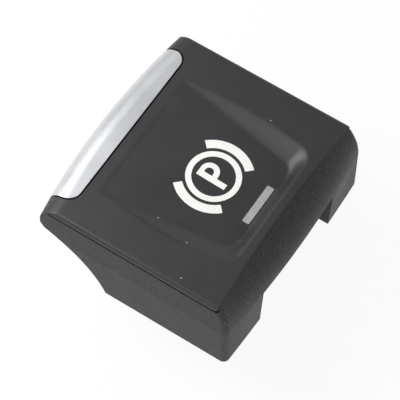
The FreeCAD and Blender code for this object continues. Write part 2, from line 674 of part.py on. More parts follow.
box_x = ("-base_half", "base_half")
shell = round_off(block(box_x, ("back_y", "front_y"), ("0", "base_height")), "base_round", upright)
foot = round_off(block(box_x, ("front_y - base_wall", "front_y + foot_length"), ("0", "foot_thick")),
                 "foot_corner", foot_edge)
rim_back = "(lens_y - bar_head_y / 2 - guide_gap - rim_wall)"
rim = block(("-rim_half", "rim_half"), (rim_back, "front_y"),
            ("base_height - base_top / 2", "rim_z"), name="light_rim")
hollow = block(("-base_half + base_wall", "base_half - base_wall"),
               ("back_y + base_wall", "front_y - base_wall"), ("-spare", "base_height - base_top"))
inside, holes = [], []
for end in (-1, 1):
    post_x = shared_x("screw_x", end)
    inside.append(rod("pillar_radius", post_x, "pivot_y", "board_top",
                      "base_height - board_top - base_top / 2"))
    holes.append(rod("screw_pilot", post_x, "pivot_y", "board_top - spare",
                     "base_height - pilot_roof - board_top + spare"))
    seat_x, seat_length = "base_half - pin_seat", "pin_seat - base_wall / 2"
    inside.append(rod("pin_radius + pin_wall", seat_x if end > 0 else f"-({seat_x}) - ({seat_length})",
                      "pivot_y", "pivot_z", seat_length, along="X"))
    holes.append(rod("pin_radius", seat_x if end > 0 else "-base_half - spare", "pivot_y", "pivot_z",
                     "pin_seat + spare", along="X"))
    holes.append(rod("mount_radius", shared_x("mount_x", end), "front_y + foot_length / 2",
                     "-spare", "foot_thick + 2 * spare"))
    for row in ("apply_y", "release_y"):
        well_x = shared_x("plunger_x", end)
        inside.append(rod("plunger_radius + plunger_play + well_wall", well_x, row, "well_z - well_floor",
                          "base_height + well_collar - well_z + well_floor"))
        holes.append(rod("plunger_radius + plunger_play", well_x, row, "well_z",
                         "well_depth + well_collar + spare"))
        holes.append(rod("stem_radius + stem_play", well_x, row, "well_z - well_floor - spare",
                         "well_floor + 2 * spare"))
for half_x, half_y, middle in (("guide_half + guide_gap", "guide_head_y / 2 + guide_gap", "guide_y"),
                               ("bar_half + guide_gap", "bar_head_y / 2 + guide_gap", "lens_y")):
    holes.append(block((f"-({half_x})", half_x), (f"{middle} - ({half_y})", f"{middle} + ({half_y})"),
                       ("base_height", "rim_z + spare"), name="guide_pocket"))
bar_window = "guide_half / bar_ratio / 2 + fit_gap"
for half_x, half_y, middle in (("guide_half / 2 + fit_gap", "guide_stem / 2 + fit_gap", "sign_y"),
                               (bar_window, "bar_stem_y / 2 + fit_gap", "lens_y")):
    holes.append(block((f"-({half_x})", half_x), (f"{middle} - ({half_y})", f"{middle} + ({half_y})"),
                       ("base_height - base_top - spare", "base_height + spare"), name="guide_window"))
housing_solid = fuse(cut(fuse(shell, foot, rim), hollow), *inside)
base_housing = node("base_housing", cut(housing_solid, *holes))

# Bottom cover with the plug socket, circuit board, terminals and lamps
collar_x, collar_y = "(socket_length / 2 + socket_wall)", "(socket_width / 2 + socket_wall)"
cover_shapes = [
    block(("-cover_side", "cover_side"), ("cover_back", "cover_front"), ("0", "cover_thick"), name="cover"),
    block((f"-{collar_x}", collar_x), (f"socket_y - {collar_y}", f"socket_y + {collar_y}"),
          ("0", "board_height"), name="plug_collar"),
]
cover_holes = [
    block(("-socket_length / 2", "socket_length / 2"),
          ("socket_y - socket_width / 2", "socket_y + socket_width / 2"),
          ("-spare", "board_height - socket_floor"), name="plug_space"),
]
board_holes = []
for end in (-1, 1):
    post_x = shared_x("screw_x", end)
    cover_shapes.append(rod("pillar_radius - fit_gap", post_x, "pivot_y", "0", "board_height"))
    cover_holes.append(rod("screw_head + screw_play", post_x, "pivot_y", "-spare",
                           "screw_sink + screw_head_height + spare", name="head_room"))
    cover_holes.append(rod("screw_radius + screw_play", post_x, "pivot_y", "0", "board_height + spare"))
    board_holes.append(rod("screw_radius + screw_play", post_x, "pivot_y", "board_height - spare",
                           "board_thick + 2 * spare"))
pins = []
for i in range(int(number("terminal_count"))):
    middle = f"({i} - (terminal_count - 1) / 2) * terminal_pitch"
    pins.append(block((f"{middle} - terminal_side / 2", f"{middle} + terminal_side / 2"),
                      ("socket_y - terminal_side / 2", "socket_y + terminal_side / 2"),
                      ("board_height - socket_floor - terminal_free", "guide_foot"), name="terminal"))
terminals = doc.addObject("Part::Compound", "terminals")
terminals.Links = pins
node("terminals", terminals)
bottom_cover = node("bottom_cover", cut(fuse(*cover_shapes), *cover_holes, terminals))
board_plate = block(("-cover_side + fit_gap", "cover_side - fit_gap"),
                    ("cover_back + fit_gap", "cover_front - fit_gap"), ("board_height", "board_top"))
circuit_board = node("circuit_board", cut(board_plate, *board_holes, terminals))
for label, middle in (("sign_led", "sign_y"), ("indicator_led", "lens_y")):
    node(label, block(("-led_length / 2", "led_length / 2"),
                      (f"{middle} - led_width / 2", f"{middle} + led_width / 2"),
                      ("board_top", "board_top + led_height")))


# Light guides from the lamps to the sign and to the indicator
def light_guide(label, stem_x, stem_y, stem_mid, head_x, head_y, head_mid):
    """A clear stem with a flange on the housing and a wide head inside the light rim."""
    pieces = []
    for x, y, middle, low, high in (
            (stem_x, stem_y, stem_mid, "guide_foot", "base_height + guide_flange / 2"),
            (f"{head_x} + 2 * guide_step", f"{head_y} + 2 * guide_step", head_mid,
             "base_height", "base_height + guide_flange"),
            (head_x, head_y, head_mid, "base_height", "guide_z")):
        pieces.append(block((f"-({x}) / 2", f"({x}) / 2"),
                            (f"{middle} - ({y}) / 2", f"{middle} + ({y}) / 2"), (low, high)))
    return node(label, fuse(*pieces))


light_guide("sign_light_guide", "guide_half", "guide_stem", "sign_y",
            "2 * guide_half", "guide_head_y", "guide_y")
light_guide("indicator_light_guide", "guide_half / bar_ratio", "bar_stem_y", "lens_y",
            "2 * bar_half", "bar_head_y", "lens_y")


# Pivot pins, snap switches, plungers and return springs on both sides
def spring(label, x, y):
    """A coil between the floor of a well and the crown of its plunger."""
    coil = doc.addObject("Part::Helix", "coil")
    coil.setExpression("Radius", tie("spring_radius"))
    coil.setExpression("Height", tie("seat_z - well_z - spring_wire"))
    coil.setExpression("Pitch", tie("(seat_z - well_z - spring_wire) / spring_turns"))
    wire = doc.addObject("Part::RegularPolygon", "wire")
    wire.Placement = Placement(Vector(), Rotation(Vector(1, 0, 0), 90))
    place(wire, "spring_radius")
    wire.Polygon = 4
    wire.setExpression("Circumradius", tie("spring_wire / 2"))
    doc.recompute()
    sweep = place(doc.addObject("Part::Sweep", "sweep"), x, y, "well_z + spring_wire / 2")
    sweep.Sections = [wire]
    sweep.Spine = (coil, [f"Edge{i}" for i in range(1, len(coil.Shape.Edges) + 1)])
    sweep.Solid, sweep.Frenet = True, True
    return node(label, sweep)


def plunger(label, x, y):
    """A hollow plunger with a tapered top, and a stem that stands on the switch button."""
    bottom = "(crown_z - plunger_skirt)"
    tip = place(doc.addObject("Part::Cone", "tip"), x, y, "crown_z - plunger_taper")
    tip.setExpression("Radius1", tie("plunger_radius"))
    tip.setExpression("Radius2", tie("plunger_tip"))
    tip.setExpression("Height", tie("plunger_taper"))
    outside = fuse(rod("plunger_radius", x, y, bottom, "plunger_skirt - plunger_taper"), tip)
    bore = rod("plunger_bore", x, y, f"{bottom} - spare", f"seat_z - {bottom} + spare")
    stem_foot = "switch_top + button_out"
    stem = rod("stem_radius", x, y, stem_foot, f"seat_z + plunger_crown / 2 - ({stem_foot})")
    return node(label, fuse(cut(outside, bore), stem))


for end, side in ((-1, "left"), (1, "right")):
    pin_x, pin_length = "base_half - pin_seat", "half - pin_cover - base_half + pin_seat"
    node(f"pivot_pin_{side}", rod("pin_radius", pin_x if end > 0 else f"-({pin_x}) - ({pin_length})",
                                  "pivot_y", "pivot_z", pin_length, along="X"))
    for job in ("apply", "release"):
        x, y = shared_x("plunger_x", end), f"{job}_y"
        case = block((f"{x} - switch_length / 2", f"{x} + switch_length / 2"),
                     (f"{y} - switch_width / 2", f"{y} + switch_width / 2"), ("board_top", "switch_top"))
        room = rod("button_radius + button_play", x, y, "switch_top - button_in - button_room",
                   "switch_height")
        node(f"{job}_switch_{side}", cut(case, room))
        node(f"{job}_button_{side}", rod("button_radius", x, y, "switch_top - button_in",
                                         "button_in + button_out"))
        plunger(f"{job}_plunger_{side}", x, y)
        spring(f"{job}_spring_{side}", x, y)

# Every object recomputes without a fault, then each node is written to its file
doc.recompute()
for thing in doc.Objects:
    if "Invalid" in thing.State or "Error" in thing.State:
        raise ValueError(f"{thing.Label} has state {thing.State}")
os.makedirs("parts", exist_ok=True)
for label, thing in parts.items():
    shape = thing.Shape
    if shape.isNull() or not shape.isValid():
        raise ValueError(f"{label} has no valid shape")
    shape.exportStep(f"parts/{label}.step")
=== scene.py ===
"""Electric parking brake switch: skin, trim, sign, screws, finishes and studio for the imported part.

Sizes are in millimetres in the frame of the part and turn into metres when a mesh is made.
"""

import json
import logging
from dataclasses import dataclass
from enum import Enum

import bpy
import numpy as np
from mathutils import Matrix, Vector

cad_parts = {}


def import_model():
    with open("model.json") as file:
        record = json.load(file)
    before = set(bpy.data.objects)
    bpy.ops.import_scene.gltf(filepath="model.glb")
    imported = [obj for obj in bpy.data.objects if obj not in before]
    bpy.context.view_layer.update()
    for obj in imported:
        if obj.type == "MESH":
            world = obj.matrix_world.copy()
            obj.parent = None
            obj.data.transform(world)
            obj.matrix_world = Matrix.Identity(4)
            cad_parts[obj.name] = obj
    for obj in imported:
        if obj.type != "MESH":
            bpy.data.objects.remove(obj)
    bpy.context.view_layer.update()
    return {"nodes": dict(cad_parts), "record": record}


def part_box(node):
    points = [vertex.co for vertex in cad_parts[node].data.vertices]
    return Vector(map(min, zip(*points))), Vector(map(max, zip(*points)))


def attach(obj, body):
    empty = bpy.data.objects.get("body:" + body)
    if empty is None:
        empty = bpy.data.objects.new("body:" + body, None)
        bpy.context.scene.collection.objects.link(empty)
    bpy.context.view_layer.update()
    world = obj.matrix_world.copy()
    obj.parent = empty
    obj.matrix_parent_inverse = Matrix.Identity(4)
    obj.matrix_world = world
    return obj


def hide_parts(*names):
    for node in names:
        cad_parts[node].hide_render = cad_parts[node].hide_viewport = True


log = logging.getLogger("switch")
MM = 0.001
COVER_SCREW_X = 11.6
Colour = tuple[float, float, float]
Socket = bpy.types.NodeSocket


def smooth_step(share: np.ndarray) -> np.ndarray:
    """S-curve 3t^2 - 2t^3 of a share t that is held between 0 and 1.

    Args:
        share: values of t.

    Returns:
        The curve's height at each value.
    """
    held = np.clip(share, 0.0, 1.0)
    return held * held * (3.0 - 2.0 * held)


def spaced(start: float, stop: float, step: float) -> np.ndarray:
    """Even stations from start to stop, both included, no further apart than a step.

    Args:
        start: first station.
        stop: last station.
        step: widest distance of two stations.

    Returns:
        The stations.
    """
    return np.linspace(start, stop, int(np.ceil(abs(stop - start) / step)) + 1)


def mesh_object(name: str, points: np.ndarray, faces: list, crease: float = 35.0) -> bpy.types.Object:
    """Put points and faces into a new smooth-shaded object at the origin.

    Args:
        name: name of the piece.
        points: n by 3 places in millimetres.
        faces: lists of point numbers.
        crease: edges that turn by more than this many degrees are shaded sharp.

    Returns:
        The object.
    """
    mesh = bpy.data.meshes.new(name)
    mesh.from_pydata((points * MM).tolist(), [], faces)
    mesh.validate()
    mesh.shade_smooth()
    mesh.set_sharp_from_angle(angle=np.radians(crease))
    piece = bpy.data.objects.new(name, mesh)
    bpy.context.scene.collection.objects.link(piece)
    return piece


def closed_slab(name: str, top: np.ndarray, bottom: np.ndarray, keep: np.ndarray | None = None,
                ring: bool = False) -> bpy.types.Object:
    """Closed solid between two sheets on one grid, with a wall along every open edge.

    The grid's first direction, its second one and the outward side of the top sheet
    are right-handed.

    Args:
        name: name of the piece.
        top: rows by columns by 3 places of the outer sheet.
        bottom: the same grid on the inner sheet.
        keep: which cells of the grid exist; all of them if left out.
        ring: the last column joins the first one.

    Returns:
        The object.
    """
    rows, columns = top.shape[:2]
    number = np.arange(rows * columns).reshape(rows, columns)
    if ring:
        number = np.concatenate([number, number[:, :1]], axis=1)
    if keep is None:
        keep = np.ones((number.shape[0] - 1, number.shape[1] - 1), bool)
    corners = [number[:-1, :-1], number[1:, :-1], number[1:, 1:], number[:-1, 1:]]
    framed = np.pad(keep, 1)
    if ring:
        framed[1:-1, 0], framed[1:-1, -1] = keep[:, -1], keep[:, 0]
    beside = [framed[1:-1, :-2], framed[2:, 1:-1], framed[1:-1, 2:], framed[:-2, 1:-1]]
    upper = np.stack(corners, axis=-1)[keep]
    lower = upper[:, ::-1] + rows * columns
    walls = []
    for i, neighbour in enumerate(beside):
        edge = keep & ~neighbour
        here, there = corners[i][edge], corners[(i + 1) % 4][edge]
        walls.append(np.stack([here + rows * columns, there + rows * columns, there, here], axis=-1))
    faces = np.concatenate([upper, lower, *walls])
    used, faces = np.unique(faces, return_inverse=True)
    points = np.concatenate([top.reshape(-1, 3), bottom.reshape(-1, 3)])[used]
    return mesh_object(name, points, faces.reshape(-1, 4).tolist())


def closed_tube(name: str, rings: np.ndarray) -> bpy.types.Object:
    """Closed solid through rings of points, with a flat cap on the first and the last ring.

    Args:
        name: name of the piece.
        rings: rings by points by 3 places; rings climb and points turn counter-clockwise.

    Returns:
        The object.
    """
    rows, columns = rings.shape[:2]
    number = np.arange(rows * columns).reshape(rows, columns)
    turned = np.roll(number, -1, axis=1)
    quads = np.stack([number[:-1], turned[:-1], turned[1:], number[1:]], axis=-1).reshape(-1, 4)
    faces = quads.tolist() + [number[0, ::-1].tolist(), number[-1].tolist()]
    return mesh_object(name, rings.reshape(-1, 3), faces)


def soften(piece: bpy.types.Object, width: float, segments: int = 2, turn: float = 40.0) -> None:
    """Round the sharp edges of a piece with a bevel.

    Args:
        piece: the piece.
        width: width of the bevel in millimetres.
        segments: faces across the bevel.
        turn: edges that turn by more than this many degrees are rounded.
    """
    bevel = piece.modifiers.new("soft_edges", "BEVEL")
    bevel.width = width * MM
    bevel.segments = segments
    bevel.limit_method = "ANGLE"
    bevel.angle_limit = np.radians(turn)
    bevel.harden_normals = True


class Wiring:
    """Adds nodes to a node tree and joins them."""

    def __init__(self, tree: bpy.types.NodeTree) -> None:
        """Work on one tree."""
        self.tree = tree

    def add(self, kind: str, values: dict | None = None, **settings: object) -> bpy.types.Node:
        """Add a node.

        Args:
            kind: Blender's type of the node.
            values: number, colour or socket for each named or numbered input.
            settings: properties of the node.

        Returns:
            The node.
        """
        node = self.tree.nodes.new(kind)
        for name, value in settings.items():
            setattr(node, name, value)
        for name, value in (values or {}).items():
            if isinstance(value, Socket):
                self.tree.links.new(value, node.inputs[name])
            else:
                node.inputs[name].default_value = value
        return node

    def math(self, operation: str, first: object, second: object = 0.0, held: bool = False) -> Socket:
        """Result of one arithmetic operation on numbers or sockets."""
        node = self.add("ShaderNodeMath", {0: first, 1: second}, operation=operation, use_clamp=held)
        return node.outputs[0]

    def remap(self, value: object, low: float, high: float, to_low: float, to_high: float) -> Socket:
        """Value carried smoothly from one range to another, held at its ends."""
        return self.add("ShaderNodeMapRange", {"Value": value, "From Min": low, "From Max": high,
                                               "To Min": to_low, "To Max": to_high},
                        interpolation_type="SMOOTHSTEP").outputs["Result"]

    def noise(self, place: object, scale: object, detail: float = 2.0,
              roughness: float = 0.5) -> Socket:
        """Cloudy noise between 0 and 1 at a scale in cells per metre."""
        return self.add("ShaderNodeTexNoise", {"Vector": place, "Scale": scale, "Detail": detail,
                                               "Roughness": roughness}).outputs["Fac"]

    def mix(self, share: object, first: object, second: object) -> Socket:
        """Two colours, at the node's inputs 6 and 7, mixed by a share of the second one."""
        node = self.add("ShaderNodeMix", {0: share, 6: first, 7: second}, data_type="RGBA")
        return node.outputs[2]


class Effect(Enum):
    """Surface effects that the finishes share, each built once as a node group."""

    GRAIN = "moulded_grain"
    PATCHES = "soft_patches"
    # Light specks: dust, and painted glints where a finish uses them for the sparkle of its grain.
    DUST_AND_GLINT = "dust_and_glint_specks"
    RUB = "rubbed_marks"

    def group(self) -> bpy.types.NodeTree:
        """Build the effect's node group when it is first asked for.

        Returns:
            The group, with the inputs Place, Size and Share and the output Mask.
        """
        made = bpy.data.node_groups.get(self.value)
        if made is not None:
            return made
        made = bpy.data.node_groups.new(self.value, "ShaderNodeTree")
        made.interface.new_socket("Place", in_out="INPUT", socket_type="NodeSocketVector")
        made.interface.new_socket("Size", in_out="INPUT", socket_type="NodeSocketFloat")
        made.interface.new_socket("Share", in_out="INPUT", socket_type="NodeSocketFloat")
        made.interface.new_socket("Mask", in_out="OUTPUT", socket_type="NodeSocketFloat")
        wiring = Wiring(made)
        inputs = wiring.add("NodeGroupInput").outputs
        scale = wiring.math("DIVIDE", 1.0, inputs["Size"])
        build = {Effect.GRAIN: self.grain, Effect.PATCHES: self.patches,
                 Effect.DUST_AND_GLINT: self.dust_and_glints, Effect.RUB: self.rub}[self]
        mask = build(wiring, inputs["Place"], scale, inputs["Share"])
        wiring.add("NodeGroupOutput", {"Mask": mask})
        return made

    @staticmethod
    def grain(wiring: Wiring, place: Socket, scale: Socket, share: Socket) -> Socket:
        """Rounded pits and bumps: cell distance blended with fine noise.

        Args:
            wiring: the group's tree.
            place: where the pattern is read, in metres.
            scale: cells of the pattern per metre.
            share: share of the fine noise.

        Returns:
            The height.
        """
        cells = wiring.add("ShaderNodeTexVoronoi", {"Vector": place, "Scale": scale},
                           feature="SMOOTH_F1").outputs["Distance"]
        finer = wiring.math("MULTIPLY", scale, 1.7)
        fine = wiring.noise(place, finer, detail=3.0, roughness=0.6)
        kept = wiring.math("MULTIPLY", cells, wiring.math("SUBTRACT", 1.0, share))
        return wiring.math("ADD", kept, wiring.math("MULTIPLY", fine, share))

    @staticmethod
    def patches(wiring: Wiring, place: Socket, scale: Socket, share: Socket) -> Socket:
        """Soft clouds: the middle of a noise drawn out to its whole range.

        Args:
            wiring: the group's tree.
            place: where the pattern is read, in metres.
            scale: cells of the pattern per metre.
            share: what the clouds reach.

        Returns:
            The mask.
        """
        clouds = wiring.noise(place, scale, detail=3.0, roughness=0.55)
        spread = wiring.remap(clouds, low=0.3, high=0.7, to_low=0.0, to_high=1.0)
        return wiring.math("MULTIPLY", spread, share)

    @staticmethod
    def dust_and_glints(wiring: Wiring, place: Socket, scale: Socket, share: Socket) -> Socket:
        """Small light specks, one at the heart of some of the cells of a pattern: dust, and on some
        finishes painted glints.

        Args:
            wiring: the group's tree.
            place: where the pattern is read, in metres.
            scale: cells of the pattern per metre.
            share: share of the cells with a speck.

        Returns:
            The mask.
        """
        cell = wiring.add("ShaderNodeTexVoronoi", {"Vector": place, "Scale": scale}, feature="F1")
        chance = wiring.add("ShaderNodeSeparateColor", {"Color": cell.outputs["Color"]}).outputs[0]
        chosen = wiring.math("LESS_THAN", chance, share)
        heart = wiring.remap(cell.outputs["Distance"], low=0.1, high=0.2, to_low=1.0, to_high=0.0)
        return wiring.math("MULTIPLY", chosen, heart)

    @staticmethod
    def rub(wiring: Wiring, place: Socket, scale: Socket, share: Socket) -> Socket:
        """Short faint strokes: noise drawn out along X and cut to its peaks.

        Args:
            wiring: the group's tree.
            place: where the pattern is read, in metres.
            scale: cells of the pattern per metre.
            share: strength of the strokes.

        Returns:
            The mask.
        """
        drawn = wiring.add("ShaderNodeMapping", {"Vector": place, "Scale": (0.18, 1.0, 1.0)}).outputs[0]
        noise = wiring.noise(drawn, scale, detail=4.0, roughness=0.65)
        strokes = wiring.remap(noise, low=0.58, high=0.75, to_low=0.0, to_high=1.0)
        return wiring.math("MULTIPLY", strokes, share)


@dataclass(frozen=True)
class Finish:
    """A finish: two close colours in clouds, a moulded grain, light specks of dust and painted glints,
    and rubbed marks.

    Attributes:
        name: the record's material slot, or the maker's word for the finish.
        colour: main colour, linear.
        patch_colour: colour of the clouds.
        roughness: roughness between the marks.
        metallic: 1 for bare metal and metal flake.
        grain_size: distance of the pits in millimetres.
        grain_depth: depth of the pits in millimetres.
        grain_tone: share by which the pits are darker and the bumps lighter.
        patch_size: size of the clouds in millimetres.
        dust_and_glint_share: share of the cells that hold a light speck: dust, and on the grained black
            painted glints.
        dust_and_glint_size: distance of those cells in millimetres.
        dust_and_glint_colour: colour of the specks, painted highlight where they stand for glints.
        rub_share: strength of the rubbed marks, which are smoother than the rest.
        rub_size: breadth of the rubbed marks in millimetres.
        see_through: share of light that passes through.
        sheen: share of the clear coat.
        mirror: strength of the plain reflection, 0.5 for common plastics.
        fine_grain: share of fine noise in the grain.
        swing: how far the clouds swing the roughness.
        shift: shift of every pattern in metres, so that none has its seam in the part's middle.
    """

    name: str
    colour: Colour
    patch_colour: Colour
    roughness: float = 0.5
    metallic: float = 0.0
    grain_size: float = 0.4
    grain_depth: float = 0.01
    grain_tone: float = 0.15
    patch_size: float = 6.0
    dust_and_glint_share: float = 0.0
    dust_and_glint_size: float = 1.2
    dust_and_glint_colour: Colour = (0.45, 0.43, 0.4)
    rub_share: float = 0.15
    rub_size: float = 3.0
    see_through: float = 0.0
    sheen: float = 0.0
    mirror: float = 0.5
    fine_grain: float = 0.6
    swing: float = 0.06
    shift: tuple[float, float, float] = (0.137, 0.211, 0.173)

    def effect(self, wiring: Wiring, kind: Effect, place: Socket, size: float,
               share: float) -> Socket:
        """Place one of the shared effects.

        Args:
            wiring: the material's tree.
            kind: which effect.
            place: where on the piece, in metres.
            size: its size in millimetres.
            share: its share.

        Returns:
            The mask.
        """
        node = wiring.add("ShaderNodeGroup", {"Place": place, "Size": size * MM, "Share": share},
                          node_tree=kind.group())
        return node.outputs["Mask"]

    def material(self) -> bpy.types.Material:
        """Build the material.

        The clouds mix the two colours and swing the roughness. The grain tones the colour
        and bends the surface. The rubbed marks are smoother than what is round them.

        Returns:
            The material.
        """
        made = bpy.data.materials.new(self.name)
        made.use_nodes = True
        wiring = Wiring(made.node_tree)
        shader = made.node_tree.nodes["Principled BSDF"]
        centred = wiring.add("ShaderNodeMapping",
                             {"Vector": wiring.add("ShaderNodeTexCoord").outputs["Object"],
                              "Location": self.shift}).outputs[0]
        grain = self.effect(wiring, Effect.GRAIN, centred, self.grain_size, self.fine_grain)
        clouds = self.effect(wiring, Effect.PATCHES, centred, self.patch_size, 1.0)
        rubbed = self.effect(wiring, Effect.RUB, centred, self.rub_size, self.rub_share)
        tone = wiring.mix(clouds, (*self.colour, 1.0), (*self.patch_colour, 1.0))
        depth = wiring.remap(grain, low=0.3, high=0.65, to_low=1.0 - self.grain_tone,
                             to_high=1.0 + self.grain_tone)
        grained = wiring.add("ShaderNodeVectorMath", {0: tone, "Scale": depth}, operation="SCALE")
        tone = grained.outputs[0]
        # Light specks over the colour: dust, and on the grained black painted glints that stand in for
        # the sparkle of its grain.
        if self.dust_and_glint_share:
            dust_and_glint_mask = self.effect(wiring, Effect.DUST_AND_GLINT, centred, self.dust_and_glint_size, self.dust_and_glint_share)
            tone = wiring.mix(dust_and_glint_mask, tone, (*self.dust_and_glint_colour, 1.0))
        wiring.tree.links.new(tone, shader.inputs["Base Color"])
        rough = wiring.math("SUBTRACT", wiring.math("MULTIPLY", clouds, self.swing), self.swing / 2)
        rough = wiring.math("ADD", wiring.math("SUBTRACT", rough, rubbed), self.roughness, held=True)
        wiring.tree.links.new(rough, shader.inputs["Roughness"])
        shader.inputs["Metallic"].default_value = self.metallic
        shader.inputs["Transmission Weight"].default_value = self.see_through
        shader.inputs["Coat Weight"].default_value = self.sheen
        shader.inputs["Specular IOR Level"].default_value = self.mirror
        bump = wiring.add("ShaderNodeBump", {"Height": grain, "Distance": self.grain_depth * MM,
                                             "Strength": 1.0})
        wiring.tree.links.new(bump.outputs["Normal"], shader.inputs["Normal"])
        return made


FINISHES = (
    # The grained black's light specks are painted glints for the sparkle of its moulded grain, with
    # some dust among them.
    Finish("grained_black", (0.036, 0.035, 0.035), (0.041, 0.04, 0.04), 0.52, grain_size=0.26,
           grain_depth=0.1, grain_tone=0.45, dust_and_glint_share=0.04, dust_and_glint_size=0.45,
           dust_and_glint_colour=(0.3, 0.29, 0.28), mirror=0.26),
    Finish("soft_black", (0.021, 0.0208, 0.0226), (0.0228, 0.0226, 0.0246), 0.48, grain_size=0.2,
           grain_depth=0.006, grain_tone=0.08, dust_and_glint_share=0.006, dust_and_glint_size=0.8, rub_share=0.02),
    Finish("satin_silver", (0.62, 0.63, 0.655), (0.66, 0.67, 0.685), 0.42, metallic=0.85,
           grain_size=0.2, grain_depth=0.008, grain_tone=0.06, patch_size=8.0, rub_share=0.04),
    Finish("smoked_lens", (0.34, 0.345, 0.34), (0.39, 0.395, 0.39), 0.5, grain_size=0.8,
           grain_depth=0.003, grain_tone=0.05, patch_size=2.0),
    Finish("sign_white", (0.83, 0.82, 0.795), (0.86, 0.85, 0.825), 0.55, grain_size=0.3,
           grain_depth=0.003, grain_tone=0.03, patch_size=3.0),
    Finish("white_diffuser", (0.8, 0.8, 0.78), (0.86, 0.86, 0.84), 0.45, grain_tone=0.03),
    Finish("housing_black", (0.03, 0.03, 0.031), (0.04, 0.039, 0.038), 0.5, grain_size=0.5,
           grain_depth=0.02, grain_tone=0.2, patch_size=9.0, dust_and_glint_share=0.02),
    Finish("board_green", (0.02, 0.11, 0.05), (0.03, 0.15, 0.07), 0.35, grain_size=0.9,
           grain_depth=0.006, patch_size=4.0, sheen=0.3),
    Finish("tinned_brass", (0.7, 0.69, 0.64), (0.6, 0.58, 0.5), 0.3, metallic=1.0,
           grain_size=0.25, grain_depth=0.004, patch_size=1.5),
    Finish("lamp_white", (0.82, 0.8, 0.66), (0.86, 0.82, 0.6), 0.4, grain_tone=0.03, patch_size=1.0),
    Finish("clear_guide", (0.9, 0.93, 0.95), (0.95, 0.96, 0.97), 0.12, grain_size=2.0,
           grain_depth=0.002, grain_tone=0.02, rub_share=0.04, see_through=0.9),
    Finish("pin_steel", (0.5, 0.5, 0.51), (0.58, 0.58, 0.58), 0.28, metallic=1.0,
           grain_size=0.15, grain_depth=0.003, patch_size=2.0),
    Finish("switch_black", (0.025, 0.025, 0.028), (0.035, 0.035, 0.037), 0.4, grain_size=0.35,
           grain_depth=0.008),
    Finish("button_red", (0.42, 0.02, 0.015), (0.5, 0.03, 0.02), 0.4, grain_tone=0.05, patch_size=1.0),
    Finish("natural_acetal", (0.74, 0.73, 0.68), (0.8, 0.79, 0.75), 0.38, grain_size=0.6,
           grain_depth=0.005, grain_tone=0.04, patch_size=3.0),
    Finish("spring_steel", (0.42, 0.41, 0.4), (0.5, 0.49, 0.47), 0.25, metallic=1.0,
           grain_size=0.12, grain_depth=0.003, patch_size=1.0),
    Finish("screw_zinc", (0.55, 0.55, 0.57), (0.62, 0.6, 0.55), 0.3, metallic=1.0,
           grain_size=0.2, grain_depth=0.004, patch_size=1.5),
)


class Workshop:
    """Makes each finish once and puts it on pieces."""

    def __init__(self) -> None:
        """Make every finish."""
        self.made = {finish.name: finish.material() for finish in FINISHES}

    def dress(self, piece: bpy.types.Object, finish: str) -> None:
        """Give a piece one finish in place of any it has."""
        piece.data.materials.clear()
        piece.data.materials.append(self.made[finish])


